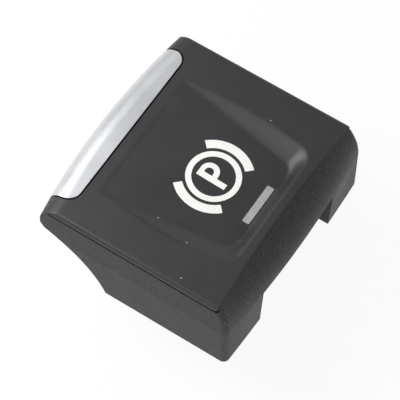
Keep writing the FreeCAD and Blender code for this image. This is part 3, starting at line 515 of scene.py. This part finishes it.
@dataclass
class LeverTop:
    """The painted top of the lever with its thumb pad, and the silver trim on its lip.

    Attributes:
        top: height of the painted top.
        side: middle of the lever to a side of the panel.
        nose: foremost place of the lip.
        trim_side: middle of the lever to a side of the trim.
        trim_rear: rear edge of the trim.
        trim_foot: height of the trim's lower edge.
        bow_half: half chord of the nose's bow.
        bow: how far the nose draws back over that half chord.
        roll: radius of the roll of the lip.
        coat: thickness of the paint.
        edge: rounding of the panel's side edges.
        skin: thickness of the panel.
        corner: rounding of the panel's rear corners seen from above.
        rear: rear edge of the panel in the middle.
        rear_dip: how far the rear edge falls back over the half chord.
        wall_rise: height of the rear wall above its crease.
        wall_roll: how far the rear wall rolls in, in the middle.
        wall_loss: how much less it rolls in at the half chord.
        pad_front: front end of the thumb pad.
        pad_rear: rear rim of the pad.
        rim_front: half width of the rim at its front.
        rim_rear: half width of the rim at its rear.
        rim_swell: how far the sides of the rim swell out.
        rim_corner: rear corners of the rim.
        floor_front: half width of the floor at its front.
        floor_rear: half width of the floor at its rear.
        floor_start: front end of the floor.
        floor_end: rear end of the floor.
        floor_corner: rear corners of the floor.
        tilt: slope of the floor in degrees.
        fade: softness of the crease where the pad starts.
        furrow: depth of the fine furrow along that crease.
        furrow_width: front of that furrow to its deepest line.
        crisp: share of the straight slope between rim and floor.
        groove_lift: how far the panel's side ends above the shadow groove.
        groove_ends: rear and front end of that groove.
        undercut: how far the back of the trim stands in from its face.
        thinnest: least thickness of the panel over the shadow groove.
        ease: depth of the rounding of the panel's rear edge in coats of paint.
        seam: gap between the panel and the trim.
        trim_corner: rear corners of the trim.
        trim_thick: thickness of the trim.
        trim_edge: rounding of the trim's edges.
        step: width of the cells of the panel's mesh.
        trim_step: width of the cells of the trim's mesh.
        bend_stations: stations over a quarter circle seen from above.
        rear_stations: stations over the rounding of the panel's rear edge.
        front_stations: stations of the panel beside the trim.
        trim_stations: stations of the trim from its rear edge to its foot.
    """

    top: float
    side: float
    nose: float
    trim_side: float
    trim_rear: float
    trim_foot: float
    bow_half: float = 23.5
    bow: float = 2.0
    roll: float = 4.0
    coat: float = 0.03
    edge: float = 0.7
    skin: float = 1.2
    corner: float = 1.2
    rear: float = -16.9
    rear_dip: float = 1.25
    wall_rise: float = 7.4
    wall_roll: float = 4.3
    wall_loss: float = 2.6
    pad_front: float = 12.3
    pad_rear: float = -15.2
    rim_front: float = 13.6
    rim_rear: float = 13.8
    rim_swell: float = 0.98
    rim_corner: float = 3.2
    floor_front: float = 13.4
    floor_rear: float = 9.9
    floor_start: float = 11.7
    floor_end: float = -13.3
    floor_corner: float = 2.2
    tilt: float = 4.0
    fade: float = 0.3
    furrow: float = 0.045
    furrow_width: float = 0.5
    crisp: float = 0.65
    groove_lift: float = 0.3
    groove_ends: tuple[float, float] = (-17.7, 18.9)
    undercut: float = 0.4
    thinnest: float = 0.1
    ease: float = 1.2
    seam: float = 0.34
    trim_corner: float = 2.4
    trim_thick: float = 0.9
    trim_edge: float = 0.26
    step: float = 0.35
    trim_step: float = 0.525
    bend_stations: int = 14
    rear_stations: int = 7
    front_stations: int = 16
    trim_stations: int = 40

    @property
    def bow_radius(self) -> float:
        """Radius of the nose's bow from its half chord and its depth."""
        return (self.bow_half ** 2 + self.bow ** 2) / (2 * self.bow)

    @property
    def axis(self) -> float:
        """Place of the upright axis that the nose bows round."""
        return self.nose - self.bow_radius

    def floor_height(self, y: np.ndarray) -> np.ndarray:
        """Height of the pad's floor: a plane that falls to the rear from the pad's front."""
        return self.top + self.coat - np.tan(np.radians(self.tilt)) * (self.pad_front - y)

    def rounded_edge(self, x: np.ndarray, y: np.ndarray, width: np.ndarray, end: float,
                     corner: float) -> np.ndarray:
        """Distance outwards from an outline with a half width, a rear end and rear corners.

        Args:
            x: places across.
            y: places along.
            width: half width of the outline at each place along.
            end: rear end of the outline.
            corner: radius of its rear corners.

        Returns:
            The distance, below 0 inside.
        """
        across, along = np.abs(x) - (width - corner), (end + corner) - y
        outside = np.hypot(np.maximum(across, 0.0), np.maximum(along, 0.0))
        return outside + np.minimum(np.maximum(across, along), 0.0) - corner

    def dish_depth(self, x: np.ndarray, y: np.ndarray) -> np.ndarray:
        """Depth of the thumb pad: the floor's depth times a curve between rim and floor.

        The curve blends an S-curve with a straight line over the distance from the rim
        divided by the distance between rim and floor. The floor's depth starts at the
        pad's front with a soft crease, and a furrow that is steep at its front runs along it.

        Args:
            x: places across.
            y: places along.

        Returns:
            The depth below the level top, 0 outside the pad.
        """
        along = (self.pad_front - y) / (self.pad_front - self.pad_rear - self.rim_corner)
        held = np.clip(along, 0.0, 1.0)
        swell = 4 * self.rim_swell * held * (1 - held)
        rim = self.rim_front + (self.rim_rear - self.rim_front) * held + swell
        length = self.floor_start - self.floor_end - self.floor_corner
        down = np.clip((self.floor_start - y) / length, 0.0, 1.0)
        floor = self.floor_front + (self.floor_rear - self.floor_front) * down
        inside = np.maximum(-self.rounded_edge(x, y, rim, self.pad_rear, self.rim_corner), 0.0)
        outside = np.maximum(self.rounded_edge(x, y, floor, self.floor_end, self.floor_corner), 0.0)
        share = inside / np.maximum(inside + outside, 1e-6)  # 0 by 0 where the outlines meet
        shape = (1 - self.crisp) * smooth_step(share) + self.crisp * share
        fall = self.fade * np.logaddexp(0.0, (self.pad_front - y) / self.fade)
        past = np.maximum(self.pad_front - y, 0.0) / self.furrow_width
        furrow = self.furrow * past * np.exp(1.0 - past)
        return (np.tan(np.radians(self.tilt)) * fall + furrow) * shape

    def roll_drop(self, x: np.ndarray, y: np.ndarray) -> np.ndarray:
        """Fall of the lip's roll: a quarter circle over the distance from the bow's axis."""
        past = np.clip(np.hypot(x, y - self.axis) - (self.bow_radius - self.roll), 0.0, self.roll)
        return self.roll - np.sqrt(self.roll ** 2 - past ** 2)

    def wall_slope(self, x: np.ndarray) -> np.ndarray:
        """Angle of the rear wall's upper end below the level, from its circular section."""
        roll = self.wall_roll - self.wall_loss * (x / self.bow_half) ** 2
        radius = (self.wall_rise ** 2 + roll ** 2) / (2 * roll)
        return np.arctan((radius - roll) / self.wall_rise)

    def rear_edge(self, x: np.ndarray) -> np.ndarray:
        """Rear edge of the panel: a parabola with a quarter circle at each end."""
        past = np.clip(np.abs(x) - (self.side - self.corner), 0.0, self.corner)
        bend = self.corner - np.sqrt(self.corner ** 2 - past ** 2)
        return self.rear - self.rear_dip * (x / self.bow_half) ** 2 + bend

    def trim_line(self, x: np.ndarray, gap: float) -> np.ndarray:
        """Rear edge of the trim or of its gap: straight, with a quarter circle at each end."""
        bend = self.trim_corner + gap
        past = np.clip(np.abs(x) - (self.trim_side - self.trim_corner), 0.0, bend)
        return self.trim_rear + self.trim_corner - np.sqrt(bend ** 2 - past ** 2)

    def columns(self) -> np.ndarray:
        """Places of the panel's columns, which crowd at the corners of the gap and of the sides.

        Returns:
            Places across, from the left side to the right one.
        """
        inner, outer = self.trim_side - self.trim_corner, self.trim_side + self.seam
        bends = np.sin(np.radians(np.linspace(0, 90, self.bend_stations)))[1:]
        half = np.concatenate([spaced(0, inner, self.step), inner + (outer - inner) * bends,
                               spaced(outer, self.side - self.edge, self.step)[1:],
                               self.side - self.edge + self.edge * bends])
        return np.concatenate([-half[:0:-1], half])

    def rows(self, across: np.ndarray) -> tuple[np.ndarray, np.ndarray, int]:
        """Places of the panel's rows on each column.

        They run from an arc over the rear edge, tangent to the top and to the rear wall,
        to the gap of the trim, and beside the trim on to the end of the roll.

        Args:
            across: places of the columns.

        Returns:
            Places along, the drop of the rear arc at each, and how many rows lie before the gap.
        """
        slope = self.wall_slope(across)
        rounding = self.coat * self.ease / (1 / np.cos(slope / 2) - 1)
        start = self.rear_edge(across) + (rounding - self.coat) * np.tan(slope / 2)
        turns = np.linspace(1, 0, self.rear_stations)[None, :] * slope[:, None]
        arc_y = start[:, None] - rounding[:, None] * np.sin(turns)
        arc_drop = rounding[:, None] * (1 - np.cos(turns))
        front = np.where(np.abs(across) < self.trim_side + self.seam,
                         self.trim_line(across, self.seam), self.trim_rear + self.trim_corner)
        count = spaced(self.rear, self.trim_rear, self.step).size
        shares = np.linspace(0, 1, count)[None, 1:]
        middle_y = start[:, None] + shares * (front - start)[:, None]
        drop = self.roll - self.skin
        end_radius = self.bow_radius - self.roll + np.sqrt(self.roll ** 2 - drop ** 2)
        end = self.axis + np.sqrt(end_radius ** 2 - across ** 2)
        beyond = np.linspace(0, 1, self.front_stations)[None, 1:]
        front_y = front[:, None] + beyond * (end - front)[:, None]
        y = np.concatenate([arc_y, middle_y, front_y], axis=1)
        rear_drop = np.concatenate([arc_drop, np.zeros_like(middle_y), np.zeros_like(front_y)], axis=1)
        return y, rear_drop, arc_y.shape[1] + middle_y.shape[1]

    def underside(self, x: np.ndarray, y: np.ndarray, z: np.ndarray) -> np.ndarray:
        """Height of the panel's underside: level, lower under the pad, higher over the shadow groove.

        Args:
            x: places across.
            y: places along.
            z: height of the panel's face there.

        Returns:
            The height of the underside.
        """
        level = self.top - self.skin
        lower = np.minimum(level, z - self.skin / 2)
        lower = np.where(self.dish_depth(x, y) > 0, z - self.skin, lower)
        groove_rear, groove_front = self.groove_ends
        lifted = (np.abs(x) > self.side - self.edge) & (y > groove_rear) & (y < groove_front)
        lifted &= z > level + 2 * self.groove_lift / 3
        raised = np.minimum(level + self.groove_lift, z - self.thinnest)
        return np.where(lifted, raised, lower)

    def panel(self) -> bpy.types.Object:
        """The panel: pad and roll taken from a level top, edges rounded, cut out for the trim.

        Where drops meet, the fall is the root of the sum of their squares.

        Returns:
            The panel.
        """
        across = self.columns()
        y, rear_drop, before_gap = self.rows(across)
        x = np.repeat(across[:, None], y.shape[1], axis=1)
        past = np.clip(np.abs(x) - (self.side - self.edge), 0.0, self.edge)
        edge_drop = self.edge - np.sqrt(self.edge ** 2 - past ** 2)
        fall = np.sqrt(self.roll_drop(x, y) ** 2 + edge_drop ** 2 + rear_drop ** 2)
        z = self.top + self.coat - fall - self.dish_depth(x, y)
        lower = self.underside(x, y, z)
        keep = np.ones((x.shape[0] - 1, x.shape[1] - 1), bool)
        middle = 0.5 * np.abs(across[1:] + across[:-1]) < self.trim_side + self.seam
        keep[middle, before_gap - 1:] = False
        piece = closed_slab("panel_skin", np.stack([x, y, z], -1), np.stack([x, y, lower], -1), keep)
        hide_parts("top_panel")
        return piece

    def trim(self) -> bpy.types.Object:
        """The trim: a sheet that follows the lip level, round its roll and down its front.

        Each column starts on the trim's rear edge. Along it the distance from the bow's
        axis and the height follow a straight line, a quarter circle and a straight line.

        Returns:
            The trim.
        """
        bends = np.sin(np.radians(np.linspace(0, 90, self.bend_stations)))[1:]
        inner = self.trim_side - self.trim_corner
        half = np.concatenate([spaced(0, inner, self.trim_step), inner + self.trim_corner * bends])
        across = np.concatenate([-half[:0:-1], half])
        past = np.hypot(across, self.trim_line(across, 0.0) - self.axis) - (self.bow_radius - self.roll)
        begin = np.where(past < 0, past, self.roll * np.arcsin(np.clip(past / self.roll, 0, 1)))
        quarter = self.roll * np.pi / 2
        finish = quarter + (self.top - self.roll - self.trim_foot)

        def sheet(radius: float, lead: float) -> np.ndarray:
            """One of the two sheets of the trim.

            Args:
                radius: radius of its roll.
                lead: how far its edges stand in.

            Returns:
                Columns by stations by 3 places.
            """
            shares = np.linspace(0, 1, self.trim_stations)[None, :]
            way = begin[:, None] + lead + shares * (finish - begin - lead)[:, None]
            turn = np.clip(way / self.roll, 0, np.pi / 2)
            out = self.bow_radius - self.roll + np.minimum(way, 0) + radius * np.sin(turn)
            height = self.top - self.roll + radius * np.cos(turn) - np.maximum(way - quarter, 0)
            x = np.repeat(across[:, None] * (1 - lead / self.trim_side), way.shape[1], axis=1)
            return np.stack([x, self.axis + np.sqrt(out ** 2 - x ** 2), height], -1)

        piece = closed_slab("lip_trim", sheet(self.roll + self.coat, 0.0),
                            sheet(self.roll - self.trim_thick, self.undercut))
        soften(piece, self.trim_edge)
        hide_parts("trim_strip")
        return piece


@dataclass
class PadMarks:
    """The sign and the indicator's lens on the floor of the pad.

    Places on the floor are measured from the middle of the sign.

    Attributes:
        lever: the top that carries them.
        middle: middle of the sign, across and along.
        ring: inner and outer radius of the ring.
        bracket: inner and outer radius of the brackets.
        bracket_turn: half angle of a bracket in degrees.
        stem: left, right, lower and upper edge of the letter's stem.
        bowl: across, along and radius of the letter's bowl.
        counter: across, along and radius of the hole in the bowl.
        ink: thickness of the print.
        lens_middle: middle of the lens along the lever.
        lens_half: half length and half width of the lens.
        lens_corner: corners of the lens.
        lens_proud: how far the lens stands above the floor.
        lens_deep: how deep it reaches below.
        lens_edge: rounding of its upper edge.
        lens_rows: shares of the way from the lens's middle line out to its edge.
        lens_points: points round the lens.
        ring_points: points round the ring.
        bracket_points: points along a bracket.
        bowl_points: points along the letter's bowl.
    """

    lever: LeverTop
    middle: tuple[float, float] = (0.28, -2.6)
    ring: tuple[float, float] = (3.97, 5.06)
    bracket: tuple[float, float] = (5.69, 7.35)
    bracket_turn: float = 45.3
    stem: tuple[float, float, float, float] = (-1.27, -0.11, -2.94, 2.9)
    bowl: tuple[float, float, float] = (0.41, 1.08, 1.82)
    counter: tuple[float, float, float] = (0.34, 1.13, 0.83)
    ink: float = 0.02
    lens_middle: tuple[float, float] = (0.08, -12.14)
    lens_half: tuple[float, float] = (4.25, 0.7)
    lens_corner: float = 0.25
    lens_proud: float = 0.05
    lens_deep: float = 0.8
    lens_edge: float = 0.06
    lens_rows: tuple[float, ...] = (0.02, 0.6, 1.0)
    lens_points: int = 64
    ring_points: int = 120
    bracket_points: int = 31
    bowl_points: int = 33

    def on_floor(self, name: str, across: np.ndarray, along: np.ndarray, middle: tuple[float, float],
                 proud: float, deep: float, ring: bool = False) -> bpy.types.Object:
        """A flat piece on the pad's floor.

        Args:
            name: name of the piece.
            across: places across, measured from the middle.
            along: places along, measured from the middle.
            middle: the piece's middle on the lever.
            proud: height of its face above the floor.
            deep: depth of its back below the floor.
            ring: whether the grid's last column joins its first.

        Returns:
            The piece.
        """
        x, y = across + middle[0], along + middle[1]
        floor = self.lever.floor_height(y)
        face, back = (np.stack([x, y, height], -1) for height in (floor + proud, floor - deep))
        return closed_slab(name, face, back, ring=ring)

    def sector(self, name: str, radii: tuple[float, float], turns: np.ndarray,
               ring: bool = False) -> bpy.types.Object:
        """Part of a ring: radius times cosine and sine of the turn, over radius and turn."""
        radius, turn = np.meshgrid(np.array(radii), turns, indexing="ij")
        return self.on_floor(name, radius * np.cos(turn), radius * np.sin(turn), self.middle,
                             self.ink, self.ink, ring)

    def letter_bowl(self) -> bpy.types.Object:
        """Bowl of the letter: outer edge blended to the edge of its hole.

        Both edges run level from the stem, round a half circle and back to the stem.

        Returns:
            The bowl.
        """
        turns = np.radians(np.linspace(-90, 90, self.bowl_points))

        def edge(centre_x: float, centre_y: float, radius: float) -> np.ndarray:
            """One edge of the bowl.

            Args:
                centre_x: middle of its half circle across.
                centre_y: middle of its half circle along.
                radius: radius of its half circle.

            Returns:
                Places across and along, from below to above.
            """
            arc = np.stack([centre_x + radius * np.cos(turns), centre_y + radius * np.sin(turns)], -1)
            ends = np.array([[self.stem[1], centre_y - radius], [self.stem[1], centre_y + radius]])
            return np.concatenate([ends[:1], arc, ends[1:]])

        both = np.stack([edge(*self.counter), edge(*self.bowl)])
        return self.on_floor("sign_bowl", both[..., 0], both[..., 1], self.middle, self.ink, self.ink)

    def build(self) -> list[bpy.types.Object]:
        """Build the ring, two brackets and the letter P as thin prints.

        Returns:
            The pieces of the sign.
        """
        full = np.radians(np.linspace(0, 360, self.ring_points, endpoint=False))
        part = np.radians(np.linspace(-self.bracket_turn, self.bracket_turn, self.bracket_points))
        left, right, low, high = self.stem
        across, along = np.meshgrid(np.array([left, right]), np.array([low, high]), indexing="ij")
        return [
            self.sector("sign_ring", self.ring, full, ring=True),
            self.sector("sign_bracket_right", self.bracket, part),
            self.sector("sign_bracket_left", self.bracket, part + np.pi),
            self.on_floor("sign_stem", across, along, self.middle, self.ink, self.ink),
            self.letter_bowl(),
        ]

    def lens(self) -> bpy.types.Object:
        """The lens: a rounded oblong from its middle line out to its edge.

        A place is the share of the way out times the half size, less the corner, plus
        the corner times cosine and sine of the turn.

        Returns:
            The lens.
        """
        turn = np.radians(np.linspace(0, 360, self.lens_points, endpoint=False))
        half_x, half_y = (half - self.lens_corner for half in self.lens_half)
        out_x = np.sign(np.cos(turn)) * half_x + self.lens_corner * np.cos(turn)
        out_y = np.sign(np.sin(turn)) * half_y + self.lens_corner * np.sin(turn)
        share = np.array(self.lens_rows)[:, None]
        piece = self.on_floor("indicator_bar", share * out_x, share * out_y, self.lens_middle,
                              self.lens_proud, self.lens_deep, ring=True)
        soften(piece, self.lens_edge)
        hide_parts("indicator_lens")
        return piece


@dataclass
class CoverScrew:
    """A self-tapping screw with a cross recess that holds the bottom cover.

    Attributes:
        x: place across.
        y: place along.
        foot: height of the head's outer face.
        head: radius of the head.
        head_height: height of the head.
        shank: radius over the thread.
        thread_depth: depth of the thread.
        pitch: pitch of the thread.
        length: length under the head.
        recess: half width and half length of an arm of the cross, and its depth.
        rim: rounding of the head's edge.
        core: radius of the small flat in the middle of the head and of the tip.
        thread_end: end of the thread to the tip.
        taper: length of the tip's cone.
        taper_radius: radius of that cone at its foot.
        soft_side: width over which a side of the cross falls.
        soft_end: length over which an end of the cross falls.
        end_rise: share by which the cross is shallower at its ends.
        rim_start: turn of the rim's first ring in degrees.
        thread_start: height of the thread's first ring over the seat.
        points: points round the screw.
        face_rings: rings on the head's face.
        rim_rings: rings on the rim.
        thread_rings: rings on the thread.
    """

    x: float
    y: float = -6.6
    foot: float = 0.7
    head: float = 1.9
    head_height: float = 1.4
    shank: float = 1.1
    thread_depth: float = 0.16
    pitch: float = 0.8
    length: float = 13.6
    recess: tuple[float, float, float] = (0.26, 1.05, 0.7)
    rim: float = 0.25
    core: float = 0.03
    thread_end: float = 1.2
    taper: float = 0.4
    taper_radius: float = 0.5
    soft_side: float = 0.1
    soft_end: float = 0.2
    end_rise: float = 0.45
    rim_start: float = 15.0
    thread_start: float = 0.02
    points: int = 96
    face_rings: int = 26
    rim_rings: int = 6
    thread_rings: int = 110

    def cross(self, x: np.ndarray, y: np.ndarray) -> np.ndarray:
        """Depth of the cross: two soft-edged bars that get shallower outwards.

        Args:
            x: places across, measured from the screw's middle.
            y: places along, measured from there.

        Returns:
            The depth at each place.
        """
        half, reach, deep = self.recess

        def bar(across: np.ndarray, along: np.ndarray) -> np.ndarray:
            """One bar of the cross: 1 inside it, 0 outside."""
            side = smooth_step((half - np.abs(across)) / self.soft_side + 0.5)
            return side * smooth_step((reach - np.abs(along)) / self.soft_end)

        return deep * np.maximum(bar(x, y), bar(y, x)) * (1.0 - self.end_rise * np.hypot(x, y) / reach)

    def build(self, name: str) -> bpy.types.Object:
        """The screw: rings from the middle of the head's face out, up the thread and to the tip.

        Args:
            name: name of the piece.

        Returns:
            The screw.
        """
        turn = np.linspace(0, 2 * np.pi, self.points, endpoint=False)[None, :]
        reach = np.linspace(self.core, self.head - self.rim, self.face_rings)[:, None]
        face = reach * np.ones_like(turn)
        face_z = self.foot + self.cross(face * np.cos(turn), face * np.sin(turn))
        bend = np.radians(np.linspace(self.rim_start, 90, self.rim_rings))[:, None]
        rim = self.head - self.rim + self.rim * np.sin(bend) + np.zeros_like(turn)
        rim_z = self.foot + self.rim - self.rim * np.cos(bend) + np.zeros_like(turn)
        seat = np.array([[self.head], [self.shank]]) + np.zeros_like(turn)
        seat_z = np.full_like(seat, self.foot + self.head_height)
        thread_stop = self.length - self.thread_end
        climb = np.linspace(self.thread_start, thread_stop, self.thread_rings)[:, None]
        wave = 0.5 + 0.5 * np.cos(2 * np.pi * climb / self.pitch - turn)
        thread = self.shank - self.thread_depth * (1 - wave ** 2)
        thread_z = self.foot + self.head_height + climb + np.zeros_like(turn)
        tip = np.array([[self.taper_radius], [self.core]]) + np.zeros_like(turn)
        tip_z = self.foot + self.head_height + np.array([[self.length - self.taper], [self.length]])
        tip_z = tip_z + np.zeros_like(turn)
        radius = np.concatenate([face, rim, seat, thread, tip])
        height = np.concatenate([face_z, rim_z, seat_z, thread_z, tip_z])
        turns = np.repeat(turn, radius.shape[0], axis=0)
        rings = np.stack([self.x + radius * np.cos(turns), self.y + radius * np.sin(turns), height], -1)
        return closed_tube(name, rings)


@dataclass(frozen=True)
class Lamp:
    """A square soft lamp that faces the part.

    Attributes:
        name: name of the lamp.
        place: where it stands, in metres.
        size: side of the lamp in metres.
        power: its power in watts.
    """

    name: str
    place: tuple[float, float, float]
    size: float
    power: float

    def build(self) -> None:
        """Hang the lamp up."""
        data = bpy.data.lights.new(self.name, "AREA")
        data.energy = self.power
        data.size = self.size
        piece = bpy.data.objects.new(self.name, data)
        piece.location = self.place
        piece.rotation_euler = Vector(self.place).to_track_quat("Z", "Y").to_euler()
        bpy.context.scene.collection.objects.link(piece)


@dataclass
class Studio:
    """Camera, floor, background and lamps.

    Attributes:
        image: width of the photograph in pixels.
        focal: focal length in pixels.
        sensor: width of the camera's sensor in millimetres.
        nearest: nearest distance that the camera sees, in metres.
        back: direction from the part to the camera.
        right: direction of the image's right side.
        distance: distance of the camera in millimetres.
        slide: shift of the camera to its right and upwards in millimetres.
        target: what the camera looks at.
        floor_level: height of the floor in metres.
        floor_half: half side of the floor in metres.
        floor_tone: lightness and roughness of the floor.
        floor_glow: share of plain white in what the camera sees of the floor.
        world_strength: strength of the even light from all sides.
        lamps: the lamps.
    """

    image: float = 400.0
    focal: float = 2366.4
    sensor: float = 36.0
    nearest: float = 0.01
    back: tuple[float, float, float] = (-0.4067, -0.2642, 0.8745)
    right: tuple[float, float, float] = (0.5474, -0.8369, 0.0017)
    distance: float = 433.6
    slide: tuple[float, float] = (-4.15, 5.47)
    target: tuple[float, float, float] = (0.0, -4.9, 11.0)
    floor_level: float = -0.0002
    floor_half: float = 3.0
    floor_tone: float = 0.9
    floor_glow: float = 0.92
    world_strength: float = 0.38
    lamps: tuple[Lamp, ...] = (
        Lamp("key_box", (-0.04, 0.15, 0.175), 0.13, 0.52),
        Lamp("far_box", (0.45, 0.15, 0.2), 0.25, 0.26),
        Lamp("left_box", (-0.6, -0.1, 0.2), 0.3, 0.8),
        Lamp("rear_box", (0.25, -0.6, 0.2), 0.3, 0.4),
    )

    def camera(self) -> None:
        """The camera at the photograph's place."""
        back, right = Vector(self.back).normalized(), Vector(self.right).normalized()
        up = back.cross(right).normalized()
        offset = back * self.distance + right * self.slide[0] + up * self.slide[1]
        data = bpy.data.cameras.new("camera")
        data.sensor_width = self.sensor
        data.lens = self.sensor * self.focal / self.image
        data.clip_start = self.nearest
        piece = bpy.data.objects.new("camera", data)
        bpy.context.scene.collection.objects.link(piece)
        turn = Matrix((right, up, back)).transposed().to_4x4()
        piece.matrix_world = Matrix.Translation((offset + Vector(self.target)) * MM) @ turn
        bpy.context.scene.camera = piece

    def seen(self, wiring: Wiring) -> Socket:
        """1 for rays from the camera, mirrors and glass, 0 for light that bounces."""
        path = wiring.add("ShaderNodeLightPath").outputs
        both = wiring.math("ADD", path["Is Camera Ray"], path["Is Glossy Ray"], held=True)
        return wiring.math("ADD", both, path["Is Transmission Ray"], held=True)

    def floor(self) -> None:
        """A pale floor that shows nearly white and keeps a light shadow."""
        half, level, tone = self.floor_half, self.floor_level, self.floor_tone
        corners = [(-half, -half, level), (half, -half, level),
                   (half, half, level), (-half, half, level)]
        mesh = bpy.data.meshes.new("floor")
        mesh.from_pydata(corners, [], [(0, 1, 2, 3)])
        piece = bpy.data.objects.new("floor", mesh)
        bpy.context.scene.collection.objects.link(piece)
        made = bpy.data.materials.new("floor_white")
        made.use_nodes = True
        wiring = Wiring(made.node_tree)
        shader = made.node_tree.nodes["Principled BSDF"]
        shader.inputs["Base Color"].default_value = (tone, tone, tone, 1.0)
        shader.inputs["Roughness"].default_value = tone
        glow = wiring.add("ShaderNodeEmission", {"Color": (1.0, 1.0, 1.0, 1.0), "Strength": 1.0})
        share = wiring.math("MULTIPLY", self.seen(wiring), self.floor_glow)
        both = wiring.add("ShaderNodeMixShader", {0: share, 1: shader.outputs[0], 2: glow.outputs[0]})
        wiring.tree.links.new(both.outputs[0], made.node_tree.nodes["Material Output"].inputs[0])
        mesh.materials.append(made)

    def background(self) -> None:
        """White where the camera sees it, and an even light at a plain level."""
        world = bpy.data.worlds.new("studio")
        world.use_nodes = True
        wiring = Wiring(world.node_tree)
        sky = world.node_tree.nodes["Background"]
        sky.inputs["Color"].default_value = (1.0, 1.0, 1.0, 1.0)
        strength = wiring.remap(self.seen_by_camera(wiring), 0.0, 1.0, self.world_strength, 1.0)
        wiring.tree.links.new(strength, sky.inputs["Strength"])
        bpy.context.scene.world = world

    def seen_by_camera(self, wiring: Wiring) -> Socket:
        """1 for rays straight from the camera."""
        return wiring.add("ShaderNodeLightPath").outputs["Is Camera Ray"]

    def build(self) -> None:
        """Set up the whole studio."""
        bpy.context.scene.view_settings.view_transform = "Standard"
        self.camera()
        self.floor()
        self.background()
        for lamp in self.lamps:
            lamp.build()
        log.info("studio ready")


def main() -> None:
    """Load the frame, take the lever's sizes from its imported parts, and build and dress every piece.
    """
    logging.basicConfig(level=logging.INFO)
    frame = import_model()
    Studio().build()
    workshop = Workshop()
    for row in frame["record"]["subparts"]:
        workshop.dress(frame["nodes"][row["node"]], row["material_slot"])
        log.info("dressed %s in %s", row["node"], row["material_slot"])
    panel_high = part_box("top_panel")[1] / MM
    trim_low, trim_high = (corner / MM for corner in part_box("trim_strip"))
    lever = LeverTop(top=panel_high.z, side=panel_high.x, nose=trim_high.y, trim_side=trim_high.x,
                     trim_rear=trim_low.y, trim_foot=trim_low.z)
    marks = PadMarks(lever)
    made = [(lever.panel(), "lever", "soft_black"), (lever.trim(), "lever", "satin_silver"),
            (marks.lens(), "lever", "smoked_lens")]
    made += [(piece, "lever", "sign_white") for piece in marks.build()]
    for side, x in (("left", -COVER_SCREW_X), ("right", COVER_SCREW_X)):
        made.append((CoverScrew(x).build(f"cover_screw_{side}"), "housing", "screw_zinc"))
    for piece, body, finish in made:
        workshop.dress(piece, finish)
        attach(piece, body)
        log.info("built %s: %d faces", piece.name, len(piece.data.polygons))


if __name__ == "__main__":
    main()
